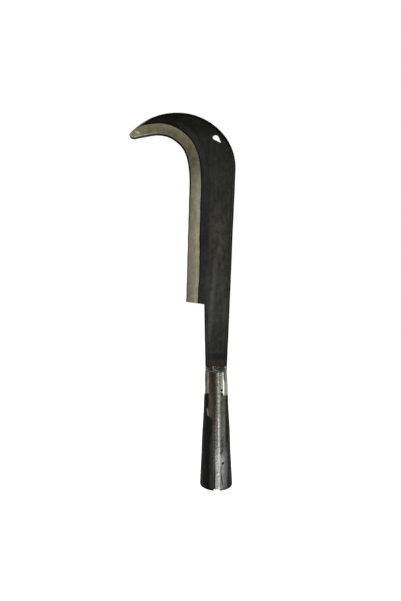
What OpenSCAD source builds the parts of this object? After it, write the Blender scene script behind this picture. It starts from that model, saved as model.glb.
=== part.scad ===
// Head of a socketed billhook, in millimetres.
// The origin is the centre of the socket's mouth, with +Z along the socket towards the hook.
// The blade lies in the XZ plane: the hook points to -X and the socket's seam faces -Y.

/* [Socket] */
// Length of the rolled socket, from its mouth to its small end
socket_len = 118; // [90:1:150]
// Outer diameter at the mouth
mouth_d = 34; // [30:0.5:42]
// Outer diameter at the small end
small_d = 22.4; // [20:0.2:28]
// Thickness of the rolled sheet
sheet_t = 2.5; // [1.5:0.1:3.2]
// Chamfer worn on the rims
rim_chamfer = 0.5; // [0.2:0.1:0.7]

/* [Seam] */
// Width of the gap between the rolled edges
seam_gap = 5.6; // [3:0.2:7]
// How far the seam weld stops short of the mouth
seam_stop = 1.5; // [0.5:0.5:6]
// How far the seam weld stands proud of the sheet
seam_crown = 0.25; // [0.1:0.05:0.6]
// Length of the groove at the mouth, where the weld did not fill one side of the gap
groove_len = 28; // [10:1:60]
// Width of that groove at the mouth
groove_w = 1.4; // [0.6:0.1:1.8]
// Thickness of the weld's root left at the bottom of the groove
groove_root = 0.7; // [0.4:0.1:1.2]

/* [Neck] */
// Length of the neck, from the socket to the heel of the edge
neck_len = 72; // [50:1:100]
// Width of the neck just below the heel
neck_w = 26.8; // [24:0.2:32]
// Length of the tang inside the socket
tang_len = 15; // [8:1:30]
// Least room left between the tang's corners and the sheet
tang_room = 0.4; // [0.2:0.1:1.5]
// Height of the weld fillets that join the neck to the socket
weld_h = 5; // [3:0.5:9]
// How far those fillets bulge beyond a straight slope
weld_bulge = 0.8; // [0.2:0.1:1.2]

/* [Blade] */
// Width of the blade at the heel
heel_w = 45.7; // [40:0.5:54]
// Fall of the heel from the edge to the neck, in degrees
heel_fall = 7.3; // [0:0.5:15]
// Thickness of the plate
plate_t = 5; // [4:0.25:6.5]
// Thickness of the plate at the end of the hook
tip_t = 3.4; // [2.6:0.2:4]
// Thickness left at the cutting edge
edge_t = 0.7; // [0.4:0.1:1.2]
// Width of the ground bevel on each side
bevel_w = 12; // [8:0.5:16]
// How much thinner each side is at the grind line than at the back
grind_drop = 0.4; // [0.2:0.05:0.7]
// Width of the forged fall from the plate down to the grind line
forge_w = 7; // [4:0.5:8]
// Radius worn on the corners of the back
back_round = 1; // [0.5:0.1:1.3]

/* [Edge outline] */
// Lean of the straight edge, in degrees from the socket's axis
edge_lean = 1.6; // [0:0.1:3]
// Length of the straight edge
edge_line = 121.8; // [95:0.5:150]
// Radius of the gentle bend that leads into the hook
lead_r = 124; // [100:1:150]
// Turn of that bend, in degrees
lead_turn = 12.7; // [10:0.1:15]
// Inner radius of the hook
hook_r = 31.7; // [28:0.1:34]
// Turn of the hook, in degrees
hook_turn = 86.4; // [82:0.1:90]
// Radius of the beak's underside
beak_r = 180; // [120:1:300]
// Length of the beak's underside
beak_len = 19.5; // [14:0.5:26]
// Radius under the rounded nose of the beak
nose_r = 5.3; // [4.5:0.1:6]
// Turn of that radius, in degrees
nose_turn = 75; // [70:1:80]
// Radius at the point of the beak
point_r = 3.3; // [2.6:0.1:4]
// Direction in which the point runs into the back, in degrees
point_dir = 48; // [44:1:52]

/* [Back outline] */
// Lean of the straight back, in degrees from the socket's axis
back_lean = 2.5; // [1.8:0.1:3.2]
// How far the straight back runs on beyond the straight edge
back_over = 15.3; // [8:0.1:22]
// Radius of the shoulder
shoulder_r = 56.7; // [54:0.1:60]
// Turn of the shoulder, in degrees
shoulder_turn = 49.5; // [45:0.5:54]
// Radius of the crown
crown_r = 64.2; // [60:0.1:68]
// Turn of the crown, in degrees
crown_turn = 64; // [58:0.5:68]

/* [Hanging hole] */
// Radius of the round end
hole_r = 3.4; // [3:0.1:4.5]
// Distance from the round end's centre to the point of the drop
hole_drop = 9.9; // [6:0.1:14]
// Distance from the round end's centre to the back
hole_inset = 7.9; // [7:0.1:12]
// Place of the hole round the shoulder, in degrees
hole_at = 42.5; // [30:0.5:55]
// Slope of the drop, in degrees
hole_slope = -46; // [-60:1:-30]

/* [Hidden] */
$fn = 96;

steel_scale = [0.19, 0.19, 0.17];
steel_weld = [0.56, 0.57, 0.53];

small_r = small_d / 2;
mouth_r = mouth_d / 2;
taper = (mouth_r - small_r) / socket_len;
heel_z = socket_len + neck_len;
beyond = 20;

// Unit vector at an angle, in degrees
function dir(a) = [cos(a), sin(a)];
function mix(a, b, f) = a + (b - a) * f;

// A run of the outline is [centre, radius, first angle, last angle]: the radius swings
// from the first angle to the last, and the outline's heading stands square to it.
function left_arc(p, heading, r, turn) = [p - r * dir(heading - 90), r, heading - 90, heading - 90 + turn];
function right_arc(p, heading, r, turn) = [p - r * dir(heading + 90), r, heading + 90, heading + 90 - turn];
function on_arc(arc, f) = arc[0] + arc[1] * dir(mix(arc[2], arc[3], f));

// Back of the blade: a straight, the shoulder, the crown, and a last arc that reaches the beak
back_heading = 90 - back_lean;
back_foot = [small_r, socket_len];
back_line = (neck_len + edge_line) / cos(back_lean) + back_over;
back_top = back_foot + back_line * dir(back_heading);
shoulder = left_arc(back_top, back_heading, shoulder_r, shoulder_turn);
crown = left_arc(on_arc(shoulder, 1), back_heading + shoulder_turn, crown_r, crown_turn);
brow_start = on_arc(crown, 1);
brow_heading = back_heading + shoulder_turn + crown_turn;

// Where the back stands at a given height on its straight part
function back_x(z) = back_foot.x + (z - back_foot.y) * tan(back_lean);

// Edge of the blade: a straight, the lead-in, the hook, the beak's underside and the nose
edge_heading = 90 - edge_lean;
heel_corner = [back_x(heel_z) - heel_w, heel_z];
edge_top = heel_corner + edge_line * dir(edge_heading);
lead = left_arc(edge_top, edge_heading, lead_r, lead_turn);
hook_heading = edge_heading + lead_turn;
hook = left_arc(on_arc(lead, 1), hook_heading, hook_r, hook_turn);
beak_heading = hook_heading + hook_turn;
beak_turn = beak_len / beak_r * 180 / PI;
beak = left_arc(on_arc(hook, 1), beak_heading, beak_r, beak_turn);
nose_heading = beak_heading + beak_turn;
nose = right_arc(on_arc(beak, 1), nose_heading, nose_r, nose_turn);
point_turn = nose_heading - nose_turn - point_dir;
point = right_arc(on_arc(nose, 1), nose_heading - nose_turn, point_r, point_turn);

// The last arc of the back leaves the crown smoothly and ends where the point begins
brow_chord = on_arc(point, 1) - brow_start;
brow_half = atan2(-brow_chord.y, -brow_chord.x) + 180 - brow_heading;
brow = left_arc(brow_start, brow_heading, norm(brow_chord) / (2 * sin(brow_half)), 2 * brow_half);

// Distance from p along unit vector d to the far side of an arc's circle
function to_circle(p, d, arc) =
    let (q = p - arc[0], b = q * d)
    sqrt(b * b - q * q + arc[1] * arc[1]) - b;
// Angle at which a point is seen from an arc's centre, from 0 to 360
function seen(arc, p) = let (v = p - arc[0], a = atan2(v.y, v.x)) a < -90 ? a + 360 : a;

// The point of the back that lies square across the blade from a point of the edge
function across(p, d) =
    let (n = dir(back_heading - 90),
         reach = ((back_foot - p) * n) / (d * n),
         line_hit = p + d * reach,
         shoulder_hit = p + d * to_circle(p, d, shoulder),
         crown_hit = p + d * to_circle(p, d, crown))
    reach > 0 && (line_hit - back_top) * dir(back_heading) < 0 ? line_hit
    : seen(shoulder, shoulder_hit) < shoulder[3] ? shoulder_hit
    : seen(crown, crown_hit) < crown[3] ? crown_hit
    : p + d * to_circle(p, d, brow);

// Stations are [point of the edge, point of the back, share of the way round the hook]
run_in = 4;
beak_share = 0.8;
line_steps = 12;
lead_steps = 4;
hook_steps = 26;
beak_steps = 6;
nose_steps = 5;
point_steps = 3;
point_share = 0.42;
run_start = heel_corner - (neck_len + tang_len + run_in) * dir(edge_heading);
hook_end = on_arc(beak, 1);
hook_end_back = across(hook_end, dir(nose_heading - 90));
brow_from = seen(brow, hook_end_back);
function brow_point(f) = brow[0] + brow[1] * dir(mix(brow_from, brow[3], f));

line_stations = [for (i = [0 : line_steps - 1])
    let (p = mix(run_start, edge_top, i / line_steps)) [p, across(p, dir(edge_heading - 90)), 0]];
lead_stations = [for (i = [0 : lead_steps - 1])
    let (f = i / lead_steps, p = on_arc(lead, f))
    [p, across(p, dir(edge_heading + lead_turn * f - 90)), 0]];
hook_stations = [for (i = [0 : hook_steps - 1])
    let (f = i / hook_steps, p = on_arc(hook, f))
    [p, across(p, dir(hook_heading + hook_turn * f - 90)), beak_share * f]];
beak_stations = [for (i = [0 : beak_steps - 1])
    let (f = i / beak_steps, p = on_arc(beak, f))
    [p, across(p, dir(beak_heading + beak_turn * f - 90)), mix(beak_share, 1, f)]];
nose_stations = [for (i = [0 : nose_steps]) let (f = i / nose_steps) [on_arc(nose, f), brow_point(f), 1]];
point_stations = [for (i = [1 : point_steps])
    let (f = point_share * i / point_steps) [on_arc(point, f), on_arc(point, 1 - f), 1]];
stations = concat(line_stations, lead_stations, hook_stations, beak_stations, nose_stations,
                  point_stations);

// Half of the section at a station, from the edge to the back, as [distance across, half thickness]
bevel_share = 0.86;
forge_share = 0.4;
function half_section(width, hooked) =
    let (plate = mix(plate_t, tip_t, hooked) / 2,
         bevel = min(bevel_w, bevel_share * width),
         rest = width - bevel,
         grind = mix(edge_t / 2, plate - grind_drop, bevel / bevel_w),
         fall = min(forge_w, forge_share * rest),
         flank = grind + grind_drop * fall / forge_w,
         r = min(back_round, rest / 2, flank / 2),
         k = r * (1 - sqrt(0.5)))
    [[0, edge_t / 2], [bevel, grind], [bevel + fall, flank], [width - r, flank],
     [width - k, flank - k], [width, flank - r]];

// The closed ring of points round the blade at one station
function ring(s) =
    let (width = norm(s[1] - s[0]), u = (s[1] - s[0]) / width, half = half_section(width, s[2]))
    concat([for (h = half) let (p = s[0] + u * h[0]) [p.x, -h[1], p.y]],
           [for (i = [len(half) - 1 : -1 : 0]) let (p = s[0] + u * half[i][0]) [p.x, half[i][1], p.y]]);

// A skin through the rings of all stations, closed at both ends
module forged_plate() {
    rings = [for (s = stations) ring(s)];
    n = len(rings[0]);
    last = n * (len(rings) - 1);
    sides = [for (i = [0 : len(rings) - 2], j = [0 : n - 1])
        let (a = i * n + j, b = i * n + (j + 1) % n) each [[a, a + n, b], [b, a + n, b + n]]];
    first_cap = [for (j = [0 : n - 1]) j];
    last_cap = [for (j = [n - 1 : -1 : 0]) last + j];
    polyhedron(points = [for (r = rings) each r], faces = concat(sides, [first_cap, last_cap]));
}

// Everything below the heel that is not neck or tang, as a flat outline
tang_z = socket_len - tang_len;
tang_half = sqrt(pow(small_r - sheet_t - tang_room, 2) - pow(plate_t / 2, 2));
tang_nip = 2;
notch = [back_x(heel_z) - neck_w, heel_z - (heel_w - neck_w) * tan(heel_fall)];
heel_far = heel_corner + beyond * [-1, tan(heel_fall)];
module neck_waste() {
    polygon([
        [heel_far.x, tang_z - beyond], [mouth_d, tang_z - beyond], [mouth_d, socket_len],
        [tang_half, socket_len], [tang_half, tang_z + tang_nip], [tang_half - tang_nip, tang_z],
        [tang_nip - tang_half, tang_z], [-tang_half, tang_z + tang_nip], [-tang_half, socket_len],
        [-small_r, socket_len], notch, heel_far]);
}

// A drop: a round end and the two tangents that meet at its point
module drop_outline() {
    side = acos(hole_r / hole_drop);
    circle(r = hole_r);
    polygon([hole_r * dir(side), [hole_drop, 0], hole_r * dir(-side), [0, 0]]);
}
hole_centre = shoulder[0] + (shoulder_r - hole_inset) * dir(hole_at);

// Turns a flat outline drawn in X and Z into a cut right through the plate
module through_plate() {
    translate([0, plate_t, 0]) rotate([90, 0, 0]) linear_extrude(2 * plate_t) children();
}

module blade() {
    color(steel_scale)
    difference() {
        forged_plate();
        through_plate() neck_waste();
        through_plate() translate(hole_centre) rotate(hole_slope) drop_outline();
    }
}

// Wall of the cone between two heights, with the outside moved out by proud
module cone_wall(from_z, proud, chamfer) {
    function outer_r(z) = mouth_r - taper * z + proud;
    function inner_r(z) = mouth_r - taper * z - sheet_t;
    rotate_extrude() polygon([
        [inner_r(from_z) + chamfer, from_z], [outer_r(from_z) - chamfer, from_z],
        [outer_r(from_z + chamfer), from_z + chamfer], [outer_r(socket_len), socket_len],
        [inner_r(socket_len), socket_len], [inner_r(from_z + chamfer), from_z + chamfer]]);
}

// The block that the gap between the rolled edges takes out of the wall
module seam_block() {
    translate([-seam_gap / 2, -mouth_d, -beyond]) cube([seam_gap, mouth_d, socket_len + 2 * beyond]);
}

module socket() {
    color(steel_scale)
    difference() {
        cone_wall(0, 0, rim_chamfer);
        seam_block();
    }
}

// A wedge that narrows up the left side of the gap and stops at the root of the weld
module groove() {
    left = -seam_gap / 2;
    root_r = groove_root - sheet_t;
    difference() {
        rotate([90, 0, 0]) linear_extrude(mouth_d)
            polygon([[left - groove_w, 0], [left + groove_w, 0], [left + groove_w, seam_stop],
                     [left, groove_len], [left - groove_w, groove_len]]);
        cylinder(r1 = mouth_r + root_r, r2 = small_r + root_r, h = socket_len);
    }
}

module seam_weld() {
    color(steel_weld)
    difference() {
        intersection() {
            cone_wall(seam_stop, seam_crown, rim_chamfer);
            seam_block();
        }
        groove();
    }
}

// A weld fillet on the socket's end: it slopes up from the rim to the face of the plate
module neck_weld() {
    face = plate_t / 2;
    run = small_r - face;
    bulge_steps = 8;
    slope = [for (i = [0 : bulge_steps])
        let (f = i / bulge_steps) [small_r - run * f, weld_h * f + weld_bulge * sin(180 * f)]];
    color(steel_weld)
    intersection() {
        translate([0, 0, socket_len]) cylinder(r = small_r, h = 2 * weld_h);
        translate([-small_r, 0, socket_len]) rotate([90, 0, 90]) linear_extrude(2 * small_r)
            polygon(concat([[face, 0]], slope));
    }
}
module neck_weld_front() { mirror([0, 1, 0]) neck_weld(); }
module neck_weld_back() { neck_weld(); }

blade();
socket();
seam_weld();
neck_weld_front();
neck_weld_back();
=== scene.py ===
"""Head of a socketed billhook: the forged blade, its rolled socket and the welds, dressed for rendering."""

import math

import bpy
import numpy as np
from bpy.props import FloatProperty, FloatVectorProperty, IntProperty, PointerProperty
from bpy.types import Operator, Panel, PropertyGroup
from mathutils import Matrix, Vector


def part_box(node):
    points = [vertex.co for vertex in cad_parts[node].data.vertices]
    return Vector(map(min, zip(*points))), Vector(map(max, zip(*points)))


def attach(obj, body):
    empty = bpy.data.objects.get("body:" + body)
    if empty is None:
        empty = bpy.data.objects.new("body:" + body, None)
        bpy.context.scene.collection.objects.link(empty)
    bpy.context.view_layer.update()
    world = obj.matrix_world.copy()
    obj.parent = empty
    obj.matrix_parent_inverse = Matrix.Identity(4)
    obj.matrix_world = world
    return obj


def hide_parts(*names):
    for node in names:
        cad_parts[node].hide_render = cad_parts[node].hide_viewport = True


bl_info = {
    "name": "Billhook Head",
    "version": (1, 0, 0),
    "blender": (4, 5, 0),
    "location": "View3D > Sidebar > Billhook",
    "description": "Builds the forged blade, the rolled socket and the welds of a billhook head",
    "category": "Add Mesh",
}

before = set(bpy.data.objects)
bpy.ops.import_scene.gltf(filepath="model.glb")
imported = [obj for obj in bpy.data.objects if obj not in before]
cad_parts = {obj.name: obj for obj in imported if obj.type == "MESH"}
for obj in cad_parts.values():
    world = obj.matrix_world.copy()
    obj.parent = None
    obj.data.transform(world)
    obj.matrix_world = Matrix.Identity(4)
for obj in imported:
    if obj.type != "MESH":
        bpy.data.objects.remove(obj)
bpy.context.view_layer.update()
BODY = "root"
SOCKET_LOW, SOCKET_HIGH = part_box("socket")
WELD_LOW, WELD_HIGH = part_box("neck_weld_front")
QUARTER = math.pi / 2

# Numbers of points round half a section of the blade: edge, bevel, forged fall, flat and back corner
EDGE_N, BEVEL_N, FALL_N, FLAT_N, CORNER_N = 4, 26, 16, 46, 8
# Numbers stored on the blade's points for its finish: distances from the grind line, the edge, the back and
# the side of the neck, and the share of the way round the hook
BLADE_MARKS = ("grind_gap", "edge_gap", "back_gap", "neck_side", "beak")
# Distance given to points that lie far from a line that the finish follows
FAR = 0.02
# Largest share of the width that the bevel takes, near the beak
BEVEL_SHARE = 0.86
# Rounding of the cutting edge, belly of the bevel, and rounding of the neck's side
NIB, BELLY, NECK_ROUND = 0.00012, 0.00008, 0.0006
# Depth of the hammer's marks on the outline and the faces, and of the scale's grain
HAMMER, GRAIN = 0.00007, 0.000022
# Near-black painted shade on the root and the wall of the groove beside the seam weld
GROOVE_SHADE_BLACK = (0.002, 0.002, 0.002)
# Half the width of the floor, and the point that the lamps face
FLOOR_HALF, HEAD_MIDDLE = 4.0, (-0.02, 0, 0.19)
# Lamps: name, place, width and height, watts, and whether the steel mirrors it
SOFTBOXES = (("left_softbox", (-0.9, -0.25, 0.45), (0.35, 1.1), 3.0, True),
             ("right_softbox", (0.9, -0.30, 0.30), (0.35, 1.1), 4.0, True),
             ("front_softbox", (-0.25, -1.1, 0.75), (0.8, 0.8), 2.5, True),
             ("rear_softbox", (0.2, 1.1, 0.8), (0.9, 0.9), 4.0, False))


# Properties


def length(name, default, description):
    """A length in metres that shows in the sidebar with its unit."""
    return FloatProperty(name=name, default=default, description=description, unit="LENGTH", precision=5)


def angle(name, degrees, description):
    """An angle, given here in degrees."""
    return FloatProperty(name=name, default=math.radians(degrees), description=description, unit="ROTATION")


def colour(name, red, green, blue, description):
    """A display colour on the 0 to 255 scale, kept as the linear value that shaders read."""
    def linear(value):
        share = value / 255
        return share / 12.92 if share <= 0.04045 else ((share + 0.055) / 1.055) ** 2.4
    return FloatVectorProperty(name=name, default=(linear(red), linear(green), linear(blue)), size=3,
                               min=0, max=1, subtype="COLOR", description=description)


class BladeSizes(PropertyGroup):
    """Sizes of the forged blade"""
    neck_w: length("Neck width", 0.0268, "Width of the neck just below the heel")
    neck_len: length("Neck length", 0.072, "From the socket to the heel of the edge")
    heel_w: length("Heel width", 0.0457, "Width of the blade at the heel")
    heel_fall: angle("Heel fall", 7.3, "Fall of the heel from the edge to the neck")
    tang_len: length("Tang length", 0.015, "Length of the tang inside the socket")
    tang_half: length("Tang half width", 0.0079, "Half the width of the tang")
    plate_t: length("Plate thickness", 0.005, "Thickness at the back")
    tip_t: length("Beak thickness", 0.0034, "Thickness at the end of the hook")
    edge_t: length("Edge thickness", 0.0007, "Thickness left at the cutting edge")
    bevel_w: length("Bevel width", 0.012, "Width of the ground bevel at the hook")
    bevel_gain: length("Bevel gain", 0.0008, "How much wider the bevel is above the heel")
    grind_drop: length("Grind drop", 0.0004, "How much thinner each side is at the grind line")
    forge_w: length("Forged fall", 0.007, "Width of the fall from the plate to the grind line")
    back_round: length("Back rounding", 0.001, "Radius worn on the corners of the back")
    edge_lean: angle("Edge lean", 1.6, "Lean of the straight edge")
    edge_line: length("Straight edge", 0.1218, "Length of the straight edge")
    lead_r: length("Lead-in radius", 0.124, "Gentle bend that leads into the hook")
    lead_turn: angle("Lead-in turn", 12.7, "Turn of the lead-in")
    hook_r: length("Hook radius", 0.0317, "Inner radius of the hook")
    hook_turn: angle("Hook turn", 86.4, "Turn of the hook")
    beak_r: length("Beak radius", 0.180, "Radius of the beak's underside")
    beak_len: length("Beak length", 0.0195, "Length of the beak's underside")
    nose_r: length("Nose radius", 0.0053, "Radius under the nose of the beak")
    nose_turn: angle("Nose turn", 75, "Turn of the nose")
    point_r: length("Point radius", 0.0033, "Radius at the point of the beak")
    point_dir: angle("Point direction", 48, "Direction in which the point runs into the back")
    back_lean: angle("Back lean", 2.5, "Lean of the straight back")
    back_over: length("Back run-on", 0.0153, "How far the straight back outruns the straight edge")
    shoulder_r: length("Shoulder radius", 0.0567, "Radius of the shoulder")
    shoulder_turn: angle("Shoulder turn", 49.5, "Turn of the shoulder")
    crown_r: length("Crown radius", 0.0642, "Radius of the crown")
    crown_turn: angle("Crown turn", 64, "Turn of the crown")
    hole_r: length("Hole radius", 0.0034, "Radius of the hanging hole's round end")
    hole_drop: length("Hole drop", 0.0099, "From the round end's centre to the point of the drop")
    hole_inset: length("Hole inset", 0.0079, "From the round end's centre to the back")
    hole_at: angle("Hole place", 42.5, "Place of the hole round the shoulder")
    hole_slope: angle("Hole slope", -46, "Slope of the drop")


class SocketSizes(PropertyGroup):
    """Sizes of the rolled socket and its welds"""
    length: length("Length", SOCKET_HIGH.z - SOCKET_LOW.z, "From the mouth to the small end")
    mouth_r: length("Mouth radius", 0.017, "Outer radius at the mouth")
    small_r: length("Small radius", 0.0112, "Outer radius at the small end")
    sheet_t: length("Sheet", 0.0025, "Thickness of the rolled sheet")
    seam_half: length("Half gap", 0.0028, "Half the gap between the rolled edges")
    seam_stop: length("Weld stop", 0.0015, "How far the seam weld stops short of the mouth")
    groove_len: length("Groove length", 0.028, "Length of the groove that the weld left at the mouth")
    groove_w: length("Groove width", 0.0014, "Width of that groove at the mouth")
    groove_root: length("Groove root", 0.0007, "Thickness of the weld's root under the groove")
    seam_crown: length("Seam crown", 0.00025, "How far the seam weld stands proud of the sheet")
    weld_bulge: length("Weld bulge", 0.0008, "How far the fillets bulge beyond a straight slope")
    weld_h: length("Fillet height", WELD_HIGH.z - WELD_LOW.z, "Height of the fillets on the neck")


class Finishes(PropertyGroup):
    """Colours of the steel"""
    scale: colour("Forge scale", 43, 44, 38, "Black scale on the flat of the blade")
    # Dark scale and painted shade: also darkens the top of the hook, the corners, the socket's left side and
    # mouth, and the left of the seam bead
    dark_scale_and_shade: colour("Dark scale", 8, 8, 2, "Scale round the hook and on the corners")
    scale_blue: colour("Blue scale", 38, 38, 41, "Oil-blued band beside the bevel")
    # Pale scale and painted light: lightens the neck and the lower blade, and a patch left of the seam near
    # the mouth
    pale_scale_and_light: colour("Light scale", 54, 55, 49, "Thinner scale of the neck")
    # Black painted shade on the corners, along the cutting edge and inside the beak's brow; also a black line
    # along the grind line
    black_and_shade: colour("Black rim", 2, 2, 1, "Oiled scale in the worn corners")
    scale_rub: colour("Rubbed scale", 70, 67, 61, "Where handling has rubbed the scale thin")
    flaked: colour("Flaked scale", 94, 80, 75, "Pinkish skin where the scale has flaked")
    rust: colour("Rust", 61, 48, 38, "Brown spots and heat tint")
    heat_blue: colour("Heat blue", 28, 31, 33, "Blue-black band of the welding heat")
    bevel: colour("Ground bevel", 112, 107, 90, "Bare steel of the bevel")
    bevel_dull: colour("Dull bevel", 90, 86, 70, "Bevel towards the cutting edge")
    bevel_bright: colour("Bright bevel", 124, 122, 105, "Last pass of the grinding beside the scale")
    bevel_brown: colour("Brown bevel", 104, 93, 76, "Brown passes of the stone")
    # Pale colour and painted highlight: a bright line along the beak's edge and a pale spot on the nose
    honed_and_highlight: colour("Honed line", 176, 175, 156, "Bright line along the beak's edge")
    worn_line: colour("Worn corner", 128, 126, 118, "Corner of the brow worn to steel")
    bevel_hook: colour("Hook bevel", 76, 73, 54, "Bevel round the hook")
    sheet: colour("Sheet scale", 14, 15, 11, "Mill scale of the rolled sheet")
    sheet_warm: colour("Warm sheet", 28, 29, 23, "Mill scale towards the seam")
    sheet_blue: colour("Blue sheet", 78, 82, 75, "Dark blue-grey scale under the ground ring")
    sheet_green: colour("Green sheet", 103, 107, 94, "Grey-green worn scale beside the seam")
    sheet_pale: colour("Pale sheet", 150, 157, 150, "Scale worn through near the mouth")
    sheet_grey: colour("Grey sheet", 119, 117, 123, "Smooth grey scale near the mouth")
    ground: colour("Ground socket", 92, 86, 80, "Bare steel of the socket's small end")
    # Pale grinding and painted highlights: a streak and a glint at the socket's left, and lighter ground
    # steel towards the right
    pale_grinding_and_highlight: colour("Pale grinding", 132, 128, 118, "Bright streaks of the grinding")
    ground_brown: colour("Tinted grinding", 50, 42, 35, "Grinding tinted brown by the welding heat")
    # Polish and painted highlights: bright lines on the socket and the seam bead, and bright curls and a spot
    # on the neck weld
    polish_and_highlight: colour("Polished", 205, 206, 196, "Brightest line of the grinding")
    seam: colour("Seam bead", 98, 94, 88, "Ground bead of the seam")
    seam_pale: colour("Pale seam bead", 152, 153, 146, "Seam bead near the mouth")
    # Blue weld steel with painted shade of the hollow on the right
    weld_blue_and_shade: colour("Weld hollow", 60, 67, 63, "Dark hollow of the neck weld")


class StageSettings(PropertyGroup):
    """Camera, lamps and floor"""
    camera_x: length("Camera X", -0.01635, "Sideways place of the camera")
    camera_y: length("Camera Y", -0.396, "Distance of the camera from the blade")
    camera_z: length("Camera height", 0.19155, "Height of the camera")
    lens: FloatProperty(name="Lens", default=22.59, unit="CAMERA", description="Focal length of the camera")
    floor_z: length("Floor", -0.30, "Height of the floor")
    seed: IntProperty(name="Seed", default=7, description="Start value of the random unevenness")


class BillhookSettings(PropertyGroup):
    """Everything that the sidebar shows"""
    blade: PointerProperty(type=BladeSizes, name="Blade", description="Sizes of the blade")
    socket: PointerProperty(type=SocketSizes, name="Socket", description="Sizes of the socket")
    finish: PointerProperty(type=Finishes, name="Finish", description="Colours of the steel")
    stage: PointerProperty(type=StageSettings, name="Stage", description="Camera, lamps and floor")


# Outline of the blade, in the XZ plane


def direction(heading):
    """Unit vectors (cos, sin) of headings in radians."""
    return np.stack([np.cos(heading), np.sin(heading)], axis=-1)


class Arc:
    """A run of the outline: centre plus radius times the unit vector of an angle from first to last.

    A left turn keeps the centre on the left of the heading, and a right turn (negative) on its right.
    """

    def __init__(self, start, heading, radius, turn):
        self.radius = radius
        self.heading = heading
        self.turn = turn
        self.first = heading - math.copysign(QUARTER, turn)
        self.last = self.first + turn
        self.centre = start - radius * direction(self.first)

    def at(self, share):
        """Points at the given shares of the run, 0 at its start and 1 at its end."""
        share = np.atleast_1d(share)
        return self.centre + self.radius * direction(self.first + (self.last - self.first) * share)

    @property
    def end(self):
        """The point where the run ends."""
        return self.at(1)[0]

    def far_side(self, points, headings):
        """Where a ray from inside the circle leaves it: p + d t with t = sqrt(b^2 - c) - b."""
        offset = points - self.centre
        b = (offset * headings).sum(axis=-1)
        c = (offset ** 2).sum(axis=-1) - self.radius ** 2
        return points + headings * (np.sqrt(np.maximum(b * b - c, 0)) - b)[..., None]

    def seen(self, points):
        """Angle at which points are seen from the centre, from -90 to 270 degrees."""
        offset = points - self.centre
        angles = np.arctan2(offset[..., 1], offset[..., 0])
        return np.where(angles < -QUARTER, angles + 2 * math.pi, angles)


def chain(start, heading, *runs):
    """Arcs of the given radii and turns, each leaving the end of the one before in its direction."""
    arcs = []
    for radius, turn in runs:
        arcs.append(Arc(start, heading, radius, turn))
        start, heading = arcs[-1].end, heading + turn
    return arcs


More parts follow.
